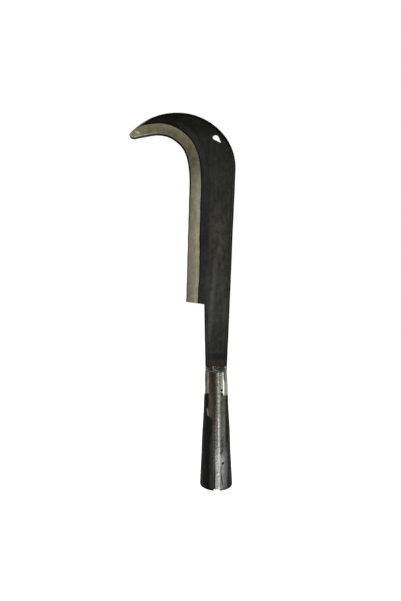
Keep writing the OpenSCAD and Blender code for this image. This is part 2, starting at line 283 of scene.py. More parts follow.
class Outline:
    """Edge and back of the blade as straights and arcs, and the stations that join them."""

    def __init__(self, size, socket):
        self.foot = np.array([socket.small_r, socket.length])
        self.back_heading = QUARTER - size.back_lean
        back_line = (size.neck_len + size.edge_line) / math.cos(size.back_lean) + size.back_over
        self.back_top = self.foot + back_line * direction(self.back_heading)
        self.shoulder, self.crown = chain(
            self.back_top, self.back_heading,
            (size.shoulder_r, size.shoulder_turn), (size.crown_r, size.crown_turn))

        heel_z = socket.length + size.neck_len
        back_x = self.foot[0] + size.neck_len * math.tan(size.back_lean)
        self.heel = np.array([back_x - size.heel_w, heel_z])
        self.edge_heading = QUARTER - size.edge_lean
        self.edge_top = self.heel + size.edge_line * direction(self.edge_heading)
        self.lead, self.hook, self.beak, self.nose = chain(
            self.edge_top, self.edge_heading,
            (size.lead_r, size.lead_turn), (size.hook_r, size.hook_turn),
            (size.beak_r, size.beak_len / size.beak_r), (size.nose_r, -size.nose_turn))
        point_heading = self.nose.heading - size.nose_turn
        self.point = Arc(self.nose.end, point_heading, size.point_r, size.point_dir - point_heading)

        # The last arc of the back leaves the crown smoothly and ends where the point begins
        brow_heading = self.crown.heading + size.crown_turn
        chord = self.point.end - self.crown.end
        half = math.atan2(-chord[1], -chord[0]) + math.pi - brow_heading
        reach = float(np.hypot(*chord)) / (2 * math.sin(half))
        self.brow = Arc(self.crown.end, brow_heading, reach, 2 * half)
        step = size.heel_w - size.neck_w
        self.notch = np.array([back_x - size.neck_w, heel_z - step * math.tan(size.heel_fall)])
        fall = direction(-size.heel_fall)
        self.heel_back = self.heel + fall * self.line_reach(self.heel, fall)

    def line_reach(self, points, headings):
        """Distance along the headings to the straight line of the back."""
        normal = direction(self.back_heading - QUARTER)
        return ((self.foot - points) @ normal) / (headings @ normal)

    def across(self, points, headings):
        """The point of the back that lies square across the blade from each point of the edge."""
        reach = self.line_reach(points, headings)
        line = points + headings * reach[..., None]
        result = self.brow.far_side(points, headings)
        for arc in (self.crown, self.shoulder):
            hit = arc.far_side(points, headings)
            result = np.where((arc.seen(hit) < arc.last)[:, None], hit, result)
        on_line = (reach > 0) & ((line - self.back_top) @ direction(self.back_heading) < 0)
        return np.where(on_line[:, None], line, result)

    def run(self, arc, count, hooked_from, hooked_to):
        """Stations along one arc of the edge: edge points, back points and hooked shares."""
        share = np.arange(count) / count
        edge = arc.at(share)
        back = self.across(edge, direction(arc.heading + arc.turn * share - QUARTER))
        return edge, back, hooked_from + (hooked_to - hooked_from) * share

    def stations(self):
        """Edge points, back points and hooked shares from the heel to the point of the beak."""
        line_count, lead_count, hook_count, beak_count, nose_count, point_count = 112, 26, 96, 30, 12, 8
        # Share of the way where the hook ends, and share of the point's arc that each side takes
        hook_end, point_half = 0.8, 0.47
        share = (np.arange(line_count) + 1) / (line_count + 1)
        edge = self.heel + (self.edge_top - self.heel) * share[:, None]
        square = np.broadcast_to(direction(self.edge_heading - QUARTER), edge.shape)
        parts = [(edge, self.across(edge, square), np.zeros(line_count)),
                 self.run(self.lead, lead_count, 0, 0),
                 self.run(self.hook, hook_count, 0, hook_end),
                 self.run(self.beak, beak_count, hook_end, 1)]
        end_back = self.across(self.nose.at(0), direction(np.array([self.nose.heading - QUARTER])))
        brow_from = self.brow.seen(end_back)[0]
        share = np.arange(nose_count + 1) / nose_count
        swing = brow_from + (self.brow.last - brow_from) * share
        brow = self.brow.centre + self.brow.radius * direction(swing)
        parts.append((self.nose.at(share), brow, np.ones(nose_count + 1)))
        share = point_half * (np.arange(point_count) + 1) / point_count
        parts.append((self.point.at(share), self.point.at(1 - share), np.ones(point_count)))
        return [np.concatenate(column) for column in zip(*parts)]


# Surfaces worked out on grids


def unevenness(u, v, wavelength, seed, waves=16):
    """Smooth random field of unit spread: the sum of plane waves with random directions and phases."""
    draw = np.random.default_rng(seed)
    headings = draw.uniform(0, 2 * math.pi, waves)
    phases = draw.uniform(0, 2 * math.pi, waves)
    stretch = draw.uniform(0.7, 1.4, waves)
    k = 2 * math.pi * stretch / wavelength
    phase = u[..., None] * (k * np.cos(headings)) + v[..., None] * (k * np.sin(headings)) + phases
    return np.cos(phase).sum(axis=-1) * math.sqrt(2 / waves)


def smooth_step(value, low, high):
    """0 below low, 1 above high, and 3 s^2 - 2 s^3 between."""
    share = np.clip((value - low) / (high - low), 0, 1)
    return share * share * (3 - 2 * share)


def skin(rings):
    """Points and faces of a closed solid whose rings run once round a bar, with plain end faces."""
    rows, count = rings.shape[:2]
    index = np.arange(rows * count).reshape(rows, count)
    low, high = index[:-1], index[1:]
    sides = np.stack([low, np.roll(low, -1, 1), np.roll(high, -1, 1), high], axis=-1).reshape(-1, 4).tolist()
    return rings.reshape(-1, 3), sides + [index[0][::-1].tolist(), index[-1].tolist()]


def signed_volume(points, faces):
    """Volume by the divergence theorem over triangle fans, negative where the faces point inwards."""
    fans = np.array([(f[0], f[k], f[k + 1]) for f in faces for k in range(1, len(f) - 1)])
    a, b, c = (points[fans[:, k]] for k in range(3))
    return float((a * np.cross(b, c)).sum() / 6)


def add_object(name, data):
    """Makes an object from its data and puts it in the scene."""
    result = bpy.data.objects.new(name, data)
    bpy.context.scene.collection.objects.link(result)
    return result


def solid(name, shell, marks):
    """Makes an object from a closed shell of (points, faces), turned outwards, with numbers on its points."""
    points, faces = shell
    if signed_volume(points, faces) < 0:
        faces = [face[::-1] for face in faces]
    mesh = bpy.data.meshes.new(name)
    mesh.from_pydata(points.tolist(), [], faces)
    for key, values in marks.items():
        values = np.broadcast_to(np.asarray(values, np.float32), len(points))
        mesh.attributes.new(key, "FLOAT", "POINT").data.foreach_set("value", values.copy())
    mesh.validate()
    return add_object(name, mesh)


def add_piece(name, shell, marks, node_names, material):
    """Makes a piece, rides it on the body and gives it its finish."""
    piece = solid(name, shell, marks)
    piece.data.materials.append(material)
    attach(piece, BODY)
    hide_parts(*node_names)
    return piece


def shade(piece, degrees=32):
    """Smooth shading with creases where faces meet at more than the given angle."""
    piece.data.shade_smooth()
    piece.data.set_sharp_from_angle(angle=math.radians(degrees))


def combine(piece, shell, marks, operation):
    """Joins a closed shell to a piece, or cuts it out of the piece, and keeps the result in its mesh."""
    other = solid("other", shell, marks)
    modifier = piece.modifiers.new("combine", "BOOLEAN")
    modifier.operation = operation
    modifier.solver = "EXACT"
    modifier.object = other
    result = bpy.data.meshes.new_from_object(piece.evaluated_get(bpy.context.evaluated_depsgraph_get()))
    piece.modifiers.remove(modifier)
    spent = (piece.data, other.data)
    piece.data = result
    bpy.data.objects.remove(other)
    for mesh in spent:
        bpy.data.meshes.remove(mesh)


def back_corner(width, flank, r):
    """A quarter round of radius r from the flat to the wall of the back, and three points down that wall."""
    drops = np.array([0.66, 0.33, 0.0])
    round_n = CORNER_N - len(drops)
    turn = (np.arange(round_n) + 1) / round_n * QUARTER
    wall = (flank - r) * drops
    return (np.concatenate([width - r + r * np.sin(turn), width + 0 * wall], axis=1),
            np.concatenate([flank - r + r * np.cos(turn), wall], axis=1))


def half_section(size, width, hooked, bevel_w, notch_t):
    """Distance across and half thickness from the middle of the edge to the middle of the back, one row each.

    The bevel rises straight from the edge with a slight belly, the forged fall climbs in a smooth step to the
    plate, and the back ends in a quarter round of radius r.
    """
    # Largest shares of the flat for the fall and its finer points, and how far before the line it starts
    fall_share, fine_share, early = 0.4, 0.45, 0.0004
    plate = (size.plate_t + (size.tip_t - size.plate_t) * hooked) / 2
    bevel = np.minimum(bevel_w, BEVEL_SHARE * width)
    rest = width - bevel
    edge = size.edge_t / 2
    grind = edge + (plate - size.grind_drop - edge) * bevel / bevel_w
    fall = np.minimum(size.forge_w, fall_share * rest)
    flank = grind + size.grind_drop * fall / size.forge_w
    r = np.minimum(np.minimum(size.back_round, rest / 2), flank / 2)
    split = np.minimum(notch_t, bevel + fine_share * rest)

    def spread(low, high, count, power=1.0):
        """Distances from low to high, without low itself, closer together near low for a power above 1."""
        return low + (high - low) * ((np.arange(count) + 1) / count) ** power

    turn = np.linspace(0, QUARTER, EDGE_N)
    bevel_t = spread(NIB, bevel, BEVEL_N)
    share = bevel_t / bevel
    bevel_h = edge + (grind - edge) * share + BELLY * np.sin(math.pi * share)
    rise_t = np.concatenate([spread(bevel, split, FALL_N, 1.5), spread(split, width - r, FLAT_N)], axis=1)
    rise_h = grind + size.grind_drop * (fall / size.forge_w) * smooth_step(rise_t - bevel, -early, fall)
    corner_t, corner_h = back_corner(width, flank, r)
    return (np.concatenate([NIB * (1 - np.cos(turn)) + 0 * width, bevel_t, rise_t, corner_t], axis=1),
            np.concatenate([edge * np.sin(turn) + 0 * width, bevel_h, rise_h, corner_h], axis=1))


def neck_section(size, width):
    """The same points on the neck: the side wall, its corner, the flat and the corner of the back."""
    plate = size.plate_t / 2 + 0 * width
    round_n = 6
    side_n = EDGE_N + BEVEL_N + FALL_N - round_n
    side_h = np.arange(side_n) / side_n * (plate - NECK_ROUND)
    turn = np.arange(round_n) / (round_n - 1) * QUARTER
    round_t = NECK_ROUND * (1 - np.cos(turn)) + 0 * width
    round_h = plate - NECK_ROUND + NECK_ROUND * np.sin(turn)
    flat_t = NECK_ROUND + (width - size.back_round - NECK_ROUND) * ((np.arange(FLAT_N) + 1) / FLAT_N)
    corner_t, corner_h = back_corner(width, plate, size.back_round)
    return (np.concatenate([0 * side_h, round_t, flat_t, corner_t], axis=1),
            np.concatenate([side_h, round_h, plate + 0 * flat_t, corner_h], axis=1))


def blade_shell(size, socket, seed):
    """Rings of the blade from the socket to the beak, with the unevenness of the forging.

    Each ring goes straight across the blade: a point is the start of its ring plus the distance t along the
    ring's direction, with the half thickness h to the front and to the rear. The bevel is wider by a bell
    curve above the heel. Returns the outline, the shell and the numbers of BLADE_MARKS for every point.
    """
    outline = Outline(size, socket)
    edge, back, hooked = outline.stations()
    along = np.concatenate([[0], np.cumsum(np.hypot(*np.diff(edge, axis=0).T))])
    unit = (back - edge) / np.hypot(*(back - edge).T)[:, None]
    wear = HAMMER * smooth_step(np.hypot(*(back - edge).T), 0.004, 0.02)
    edge = edge + unit * (wear * unevenness(along, along * 0, 0.021, seed + 1))[:, None]
    back = back - unit * (wear * unevenness(along, along * 0, 0.035, seed + 2))[:, None]
    width = ((back - edge) * unit).sum(axis=1)
    notch_t = float(np.hypot(*(outline.notch - outline.heel)))
    heel_span = outline.heel_back - outline.heel
    heel_width = float(np.hypot(*heel_span))
    heel_unit = heel_span / heel_width

    # The heel itself: one ring drawn in a little, then one at full size, so that its corners are worn
    worn = 0.0004
    lift = worn * direction(outline.edge_heading)
    edge = np.concatenate([[outline.heel, outline.heel + lift], edge])
    unit = np.concatenate([[heel_unit, heel_unit], unit])
    width = np.concatenate([[heel_width, heel_width], width])[:, None]
    hooked = np.concatenate([[0, 0], hooked])[:, None]
    along = np.concatenate([[0, 0], along])[:, None]
    gain_at, gain_reach, waver = 0.034, 0.020, 0.00006
    bevel_w = size.bevel_w + size.bevel_gain * np.exp(-((along - gain_at) / gain_reach) ** 2)
    bevel_w = bevel_w + waver * unevenness(along, along * 0, 0.013, seed + 3)
    blade_t, blade_h = half_section(size, width, hooked, bevel_w, notch_t)
    inset = np.zeros_like(blade_h)
    inset[0] = worn * smooth_step(notch_t - blade_t[0], 0, 0.001)
    blade_h = np.maximum(blade_h - inset, 0.3 * blade_h)

    neck_n = 66
    share = np.arange(neck_n)[:, None] / (neck_n - 1)
    left = np.array([-socket.small_r, socket.length]) * (1 - share) + outline.notch * share
    neck_span = outline.foot * (1 - share) + outline.heel_back * share - left
    neck_width = np.hypot(*neck_span.T)[:, None]
    neck_t, neck_h = neck_section(size, neck_width)

    start = np.concatenate([left, edge])[:, None]
    unit = np.concatenate([neck_span / neck_width, unit])[:, None]
    t = np.concatenate([neck_t, blade_t])
    h = np.concatenate([neck_h, blade_h])
    x, z = np.moveaxis(start + unit * t[..., None], -1, 0)
    grind_gap = blade_t - np.minimum(bevel_w, BEVEL_SHARE * width)
    grind_gap = np.concatenate([np.full_like(neck_t, FAR), grind_gap])
    marks = (grind_gap,
             np.concatenate([neck_t + notch_t, blade_t]),
             np.concatenate([neck_width - neck_t, width - blade_t]),
             np.concatenate([neck_t, np.full_like(blade_t, FAR)]),
             np.concatenate([0 * neck_width, hooked]) + 0 * t)
    bare = smooth_step(grind_gap, -0.0003, 0.0008)
    firm = smooth_step(h, 0.0004, 0.0012)
    sides = []
    for side in (0, 1):
        dents = HAMMER * unevenness(x, z, 0.048, seed + 10 + side)
        dents = dents + GRAIN * unevenness(x, z, 0.0075, seed + 20 + side)
        sides.append(h + dents * (0.25 + 0.75 * bare) * firm)

    def closed(front, rear):
        """Joins the front half of each ring to the rear half, which runs back from the back to the edge."""
        return np.concatenate([front, rear[:, -2:0:-1]], axis=1)

    rings = closed(np.stack([x, -sides[0], z], axis=-1), np.stack([x, sides[1], z], axis=-1))
    return outline, skin(rings), {key: closed(mark, mark).ravel() for key, mark in zip(BLADE_MARKS, marks)}


def tang_shell(size, socket):
    """A tongue that narrows over its last 2 mm: a rectangle with rounded corners, carried up the axis.

    It reaches 0.4 mm into the neck, a little inside its faces, so that the two join into one solid.
    """
    rows = np.array([0, 0.0006, 0.002, 0.008, size.tang_len - 0.0008, size.tang_len + 0.0004])
    half_w = size.tang_half - np.array([0.0020, 0.0014, 0.0, 0.0, 0.0, 0.0])
    half_t = size.plate_t / 2 - np.array([0.0006, 0.0001, 0.0, 0.0, 0.0, 0.0003])
    corner = 0.0005
    turn = np.linspace(0, QUARTER, 6)
    rings = np.zeros((len(rows), 4 * len(turn), 3))
    for ring, row, w, t in zip(rings, rows, half_w, half_t):
        quarter = -np.stack([w - corner + corner * np.cos(turn), t - corner + corner * np.sin(turn)], axis=1)
        half = np.concatenate([quarter, quarter[::-1] * (-1, 1)])
        ring[:, :2] = np.roll(np.concatenate([half, half[::-1] * (1, -1)]), 1, axis=0)
        ring[:, 2] = socket.length - size.tang_len + row
    return skin(rings)


def drop_cutter(size, outline):
    """The hanging hole as a solid: a drop outline, widened at both faces of the plate, carried through it.

    The drop is a round end and two straights that touch it and meet in a point, which is worn a little.
    """
    blunt = 0.0004
    side = math.acos(size.hole_r / size.hole_drop)
    round_end = size.hole_r * direction(np.linspace(side, 2 * math.pi - side, 44))
    tip = np.array([size.hole_drop - blunt, 0.0])
    flank = np.linspace(0, 1, 8)[1:-1, None]
    lower = round_end[-1] + (tip - round_end[-1]) * flank
    upper = tip + (round_end[0] - tip) * flank
    loop = np.concatenate([round_end, lower, [tip], upper])
    outward = loop / np.hypot(*loop.T)[:, None]
    # Places through the plate, and how far the drop is widened at each
    levels = np.array([-0.006, -0.0027, -0.0022, 0.0, 0.0022, 0.0027, 0.006])
    widen = np.array([0.0007, 0.0003, 0.0, 0.0, 0.0, 0.0003, 0.0007])
    turned = np.array([[math.cos(size.hole_slope), math.sin(size.hole_slope)],
                       [-math.sin(size.hole_slope), math.cos(size.hole_slope)]])
    centre = outline.shoulder.centre + (size.shoulder_r - size.hole_inset) * direction(size.hole_at)
    rings = np.zeros((len(levels), len(loop), 3))
    rings[..., ::2] = (loop + outward * widen[:, None, None]) @ turned + centre
    rings[..., 1] = levels[:, None]
    return skin(rings)


def cone_radius(size, z):
    """Outer radius of the socket at height z: it falls evenly from the mouth to the small end."""
    return size.mouth_r + (size.small_r - size.mouth_r) * z / size.length


def socket_shell(size, seed):
    """The rolled sheet: a wall profile carried round from one rolled edge to the other.

    The profile runs up the outside, over the small rim, down the inside and round the mouth. The sheet is
    slightly flat beside the gap, as rolled sheet is, and ground thinner round its small end.
    """
    outer_n, inner_n, round_n, turn_n = 150, 50, 5, 150
    rim, lip = 0.0006, 0.0003
    # Heights between which the ground step comes in, fades away, and the small end flares
    step_in, step_out, flare_in = (0.0926, 0.0940), (0.0975, 0.112), (0.098, 0.110)
    up = np.linspace(lip, size.length - rim, outer_n)
    down = up[::-1][np.linspace(0, outer_n - 1, inner_n).astype(int)]
    turn = np.linspace(0, QUARTER, round_n + 2)[1:-1]
    rise, run = 1 - np.sin(turn), 1 - np.cos(turn)
    z = np.concatenate([up, size.length - rim * rise, size.length - rim * run, down, lip * rise, lip * run])
    depth = np.concatenate([np.zeros(outer_n), rim * run, size.sheet_t - rim * rise,
                            np.full(inner_n, size.sheet_t), size.sheet_t - lip * run, lip * rise])
    share = np.linspace(0, 1, turn_n)
    ease = share + 0.045 * np.sin(2 * math.pi * share)
    radius = cone_radius(size, z)[None, :] - depth[None, :]
    half_gap = np.arcsin(size.seam_half / radius)
    swing = half_gap + (2 * math.pi - 2 * half_gap) * ease[:, None]
    around = swing * cone_radius(size, z)[None, :]
    height = np.broadcast_to(z, around.shape)
    outside = 1 - depth[None, :] / size.sheet_t
    # Sag of the sheet, flat beside the gap, step ground round the small end, and the flare above it
    sag = 0.00009 * unevenness(around, height, 0.036, seed + 31)
    sag = sag + 0.000025 * unevenness(around, height, 0.006, seed + 32)
    from_gap = np.minimum(swing, 2 * math.pi - swing)
    flat = 0.00018 * np.exp(-(from_gap / 0.35) ** 2)
    left = smooth_step(np.sin(swing), 0.35, 0.9)
    fade = 1 - smooth_step(height, *step_out)
    ground = 0.00055 * smooth_step(height, *step_in) * fade * left * outside
    flare = 0.0003 * smooth_step(height, *flare_in) * outside
    away = smooth_step(from_gap, 0.02, 0.4)
    r = radius + sag - flat - ground + flare
    r = radius + (r - radius) * (0.35 + 0.65 * away)
    rings = np.stack([-r * np.sin(swing), -r * np.cos(swing), height], axis=-1)
    points, faces = skin(rings)
    first = np.arange(rings.shape[1])
    last = first + len(points) - len(first)
    walls = [seam_wall(ring, outer_n, round_n, inner_n) for ring in (first, last)]
    return points, faces[:-2] + walls[0] + [face[::-1] for face in walls[1]]


def seam_wall(ring, outer_n, round_n, inner_n):
    """The narrow face along one rolled edge: strips between the outer and the inner stretch of its ring."""
    outer, top, inner, mouth = np.split(ring, np.cumsum([outer_n, 2 * round_n, inner_n]))
    inner = inner[::-1]
    low = np.floor(np.linspace(0, inner_n - 1, outer_n)).astype(int)
    faces = []
    for k in range(outer_n - 1):
        quad = [outer[k + 1], outer[k], inner[low[k]], inner[min(low[k + 1], inner_n - 1)]]
        faces.append([int(i) for i in dict.fromkeys(quad)])
    faces.append([int(i) for i in [outer[-1], *top, inner[-1]]][::-1])
    faces.append([int(i) for i in [inner[0], *mouth, outer[0]]][::-1])
    return faces


def seam_shell(size, seed):
    """The seam weld: a bar that fills the gap, with a pitted crown and a groove beside its left edge.

    The groove narrows evenly from the mouth to a hairline, and goes down to the root of the weld. The end at
    the mouth is ragged: it hangs down by a bell curve of the height above the mouth, but for a nick.
    """
    rows, face_n, side_n, shelf_n = 300, 30, 5, 4
    hairline, slack = 0.00016, 0.00004
    share = np.linspace(0, 1, rows)
    z = (size.seam_stop + (size.length - 0.0002 - size.seam_stop) * share)[:, None]
    open_share = (size.groove_len - z) / (size.groove_len - size.seam_stop)
    groove = np.maximum(size.groove_w * open_share, hairline)
    left, right = slack - size.seam_half, size.seam_half - slack
    u = np.linspace(0, 1, face_n)
    x = left + groove + (right - left - groove) * u
    height = z + np.zeros_like(x)
    crown = size.seam_crown * np.sin(math.pi * u) ** 0.6
    pits = 0.00007 * unevenness(x, height, 0.0016, seed + 41)
    pits = pits + 0.00010 * unevenness(x, height * 0.6, 0.0045, seed + 42)
    edge = smooth_step(np.minimum(u, 1 - u), 0, 0.08)
    outer_r = cone_radius(size, z)
    top_y = -np.sqrt(outer_r ** 2 - x ** 2) - (crown + pits) * edge
    floor_x = left + (right - left) * np.linspace(1, 0, face_n) + np.zeros_like(z)
    floor_y = -np.sqrt((outer_r - size.sheet_t) ** 2 - floor_x ** 2)
    side = (np.arange(side_n) + 1) / (side_n + 1)
    right_y = top_y[:, -1:] + (floor_y[:, :1] - top_y[:, -1:]) * side
    root_r = outer_r - size.sheet_t + size.groove_root
    shelf_x = left + groove * np.linspace(0, 1, shelf_n)
    shelf_y = -np.sqrt(root_r ** 2 - shelf_x ** 2)
    wall_y = shelf_y[:, -1:] + (top_y[:, :1] - shelf_y[:, -1:]) * side
    ring_x = np.concatenate([x, right + 0 * right_y, floor_x, shelf_x, left + groove + 0 * wall_y], axis=1)
    ring_y = np.concatenate([top_y, right_y, floor_y, shelf_y, wall_y], axis=1)
    ragged_h, droop, nick, nick_x, nick_w = 0.0011, 0.0005, 0.0009, 0.0007, 0.0010
    mouth = np.exp(-((z - size.seam_stop) / ragged_h) ** 2)
    ring_z = z - droop * mouth + np.zeros_like(ring_x)
    ring_z[:, :face_n] += nick * mouth * np.exp(-((x - nick_x) / nick_w) ** 2)
    # Painted shade: the root and the wall of the groove get a near-black colour
    shaded_groove = np.zeros_like(ring_x)
    shaded_groove[:, 2 * face_n + side_n:] = 1
    return skin(np.stack([ring_x, ring_y, ring_z], axis=-1)), {"shaded_groove": shaded_groove.ravel()}


def fillet_shell(size, plate_half, front, seed):
    """A weld fillet on the socket's end: height over a half moon, sloping from the plate's face to the rim.

    The height is a straight slope plus half a sine wave for the bulge, ripples and lumps. The front is ground
    on the left, and flatter on the right with clearer ripples.
    """
    across_n, out_n, wall_n = 90, 30, 4
    # Distance kept from the ends of the half moon, how much flatter the right is, and the least height
    clear, flatter, thinnest = 0.0003, 0.0006, 0.00025
    reach = math.sqrt(size.small_r ** 2 - (plate_half + clear) ** 2)
    x = reach * np.sin(np.linspace(-QUARTER, QUARTER, across_n))
    rim_y = np.sqrt(np.maximum(size.small_r ** 2 - x ** 2, 0))
    v = np.linspace(0, 1, out_n)[None, :]
    y = plate_half + (rim_y - plate_half)[:, None] * v
    spread = x[:, None] * np.ones_like(v)
    slope = (size.small_r - y) / (size.small_r - plate_half)
    lean = smooth_step(spread, -0.001, 0.003) if front else np.full_like(spread, 0.5)
    belly = size.weld_bulge - flatter * lean
    ripple = 0.00016 * np.sin(spread / 0.0011 * math.pi + 2.2 * v) * (0.3 + 0.7 * lean)
    lumps = 0.00016 * unevenness(spread, y, 0.0032, seed + 51)
    lumps = lumps + 0.00006 * unevenness(spread, y, 0.0012, seed + 52)
    hold = smooth_step(v, 0, 0.12) * (0.25 + 0.75 * smooth_step(1 - v, 0, 0.2))
    height = size.weld_h * slope + belly * np.sin(math.pi * np.clip(slope, 0, 1)) + (ripple + lumps) * hold
    height = np.clip(height, thinnest, size.weld_h)
    top = np.stack([spread, y, size.length + height], axis=-1)
    base = np.stack([spread, y, np.full_like(y, size.length)], axis=-1)
    share = ((np.arange(wall_n) + 1) / (wall_n + 1))[None, :, None]
    outer_wall = top[:, -1:] + (base[:, -1:] - top[:, -1:]) * share
    inner_wall = base[:, :1] + (top[:, :1] - base[:, :1]) * share
    rings = np.concatenate([top, outer_wall, base[:, ::-1], inner_wall], axis=1)
    if front:
        rings[..., 1] *= -1
    return skin(rings)


# Materials


class Signal:
    """A shader value that can be added, subtracted and multiplied like a number."""

    def __init__(self, net, socket):
        self.net = net
        self.socket = socket

    def __add__(self, other):
        return self.net.math("ADD", self, other)

    def __sub__(self, other):
        return self.net.math("SUBTRACT", self, other)

    def __rsub__(self, other):
        return self.net.math("SUBTRACT", other, self)

    def __mul__(self, other):
        return self.net.math("MULTIPLY", self, other)

    __radd__ = __add__
    __rmul__ = __mul__


class Net:
    """Builds the nodes of a material or of the world from short calls."""

    def __init__(self, owner):
        owner.use_nodes = True
        self.owner = owner
        self.tree = owner.node_tree
        self.tree.nodes.clear()

    def node(self, kind, inputs, **settings):
        """Adds a shader node, sets it up and feeds its inputs, which are named or stand in order."""
        node = self.tree.nodes.new("ShaderNode" + kind)
        for key, value in settings.items():
            setattr(node, key, value)
        for key, value in inputs.items() if isinstance(inputs, dict) else enumerate(inputs):
            socket = node.inputs[key]
            if isinstance(value, Signal):
                self.tree.links.new(value.socket, socket)
            elif socket.type == "RGBA" and len(value) == 3:
                socket.default_value = (*value, 1)
            else:
                socket.default_value = value
        return node

    def add(self, kind, inputs, output=0, **settings):
        """Adds a shader node and hands on one of its outputs."""
        return Signal(self, self.node(kind, inputs, **settings).outputs[output])

    def math(self, operation, first, second):
        """One step of arithmetic, under Blender's name for it."""
        return self.add("Math", (first, second), operation=operation)

    def most(self, first, *others):
        """The largest of several signals."""
        for other in others:
            first = self.math("MAXIMUM", first, other)
        return first

    def seen_directly(self):
        """1 for rays from the camera, reflections and transmission, and 0 for the rest."""
        path = self.node("LightPath", ()).outputs
        kinds = ("Camera", "Glossy", "Transmission")
        return self.most(*(Signal(self, path[f"Is {kind} Ray"]) for kind in kinds))


class Steel(Net):
    """Builds the nodes of one steel finish, with the place on the piece in x, y and z."""

    def __init__(self, name):
        super().__init__(bpy.data.materials.new(name))
        self.place = self.add("TexCoord", (), "Object")
        split = self.node("SeparateXYZ", [self.place])
        self.x, self.y, self.z = (Signal(self, socket) for socket in split.outputs)

    def mark(self, name):
        """A number stored on the points of the mesh."""
        return self.add("Attribute", (), "Fac", attribute_name=name)

    def step(self, value, low, high, to_low=0.0, to_high=1.0):
        """A smooth step from to_low to to_high as value goes from low to high."""
        return self.add("MapRange", (value, low, high, to_low, to_high), interpolation_type="SMOOTHSTEP")

    def fade(self, value, low, high):
        """1 below low, falling smoothly to 0 above high."""
        return self.step(value, low, high, 1.0, 0.0)

    def hump(self, value, middle, reach):
        """1 at the middle, falling smoothly to 0 at reach on either side."""
        return self.fade(self.add("Math", [value - middle], operation="ABSOLUTE"), 0.0, reach)

    def band(self, value, low, high, soft):
        """1 between low and high, with edges that fade over soft on either side."""
        return self.step(value, low - soft, low + soft) * self.fade(value, high - soft, high + soft)

    def spot(self, x, z, reach):
        """A round spot of the given radius at x and z on the face."""
        across, along = self.x - x, self.z - z
        return self.fade(across * across + along * along, 0.2 * reach * reach, reach * reach)

    def noise(self, size, detail=4.0, stretch=(1, 1, 1), roughness=0.5):
        """Noise between 0 and 1 whose lumps are about size across, in metres, drawn out by stretch."""
        place = self.add("Mapping", {"Vector": self.place, "Scale": [1 / (size * s) for s in stretch]})
        inputs = {"Vector": place, "Scale": 1.0, "Detail": detail, "Roughness": roughness}
        return self.add("TexNoise", inputs, "Fac")

    def stray(self, size, reach, detail=4.0, stretch=(1, 1, 1)):
        """Noise round zero, up to half of reach on either side, for edges that waver."""
        return (self.noise(size, detail, stretch) - 0.5) * reach

    def grit(self, size, stretch=(1, 1, 1), detail=3.0, roughness=0.7):
        """Noise drawn apart, so that it uses the whole range from 0 to 1."""
        return self.step(self.noise(size, detail, stretch, roughness), 0.33, 0.67)

    def grain(self, u, v, w, detail):
        """Noise over three signals, for a pattern that follows the surface."""
        join = self.add("CombineXYZ", (u, v, w))
        return self.add("TexNoise", {"Vector": join, "Scale": 1.0, "Detail": detail}, "Fac")

    def cells(self, size):
        """Distance to the nearest of scattered points about size apart, for pits and spots."""
        place = self.add("Mapping", {"Vector": self.place, "Scale": [1 / size] * 3})
        return self.add("TexVoronoi", {"Vector": place, "Scale": 1.0}, "Distance")

    def blend(self, first, second, share, mode="MIX"):
        """Mixes two colours by share."""
        return self.add("Mix", {"Factor": share, "A": first, "B": second}, "Result",
                        data_type="RGBA", blend_type=mode, clamp_factor=True)

    def coats(self, base, *coats):
        """Lays coats, each a colour and its share, over a base colour one after the other."""
        for colour_over, share in coats:
            base = self.blend(base, colour_over, share)
        return base

    def brighten(self, base, amount):
        """Multiplies a colour by a signal round 1."""
        return self.blend(base, self.add("CombineColor", (amount, amount, amount)), 1.0, "MULTIPLY")

    def finish(self, base, metal, roughness, relief, specular):
        """Sends colour, metal, roughness and relief in metres to the surface shader."""
        normal = self.add("Bump", {"Strength": 0.9, "Distance": 1.0, "Height": relief}, "Normal")
        surface = self.add("BsdfPrincipled", {"Base Color": base, "Metallic": metal, "Roughness": roughness,
                                              "Normal": normal, "Specular IOR Level": specular}, "BSDF")
        self.node("OutputMaterial", {"Surface": surface})
        return self.owner


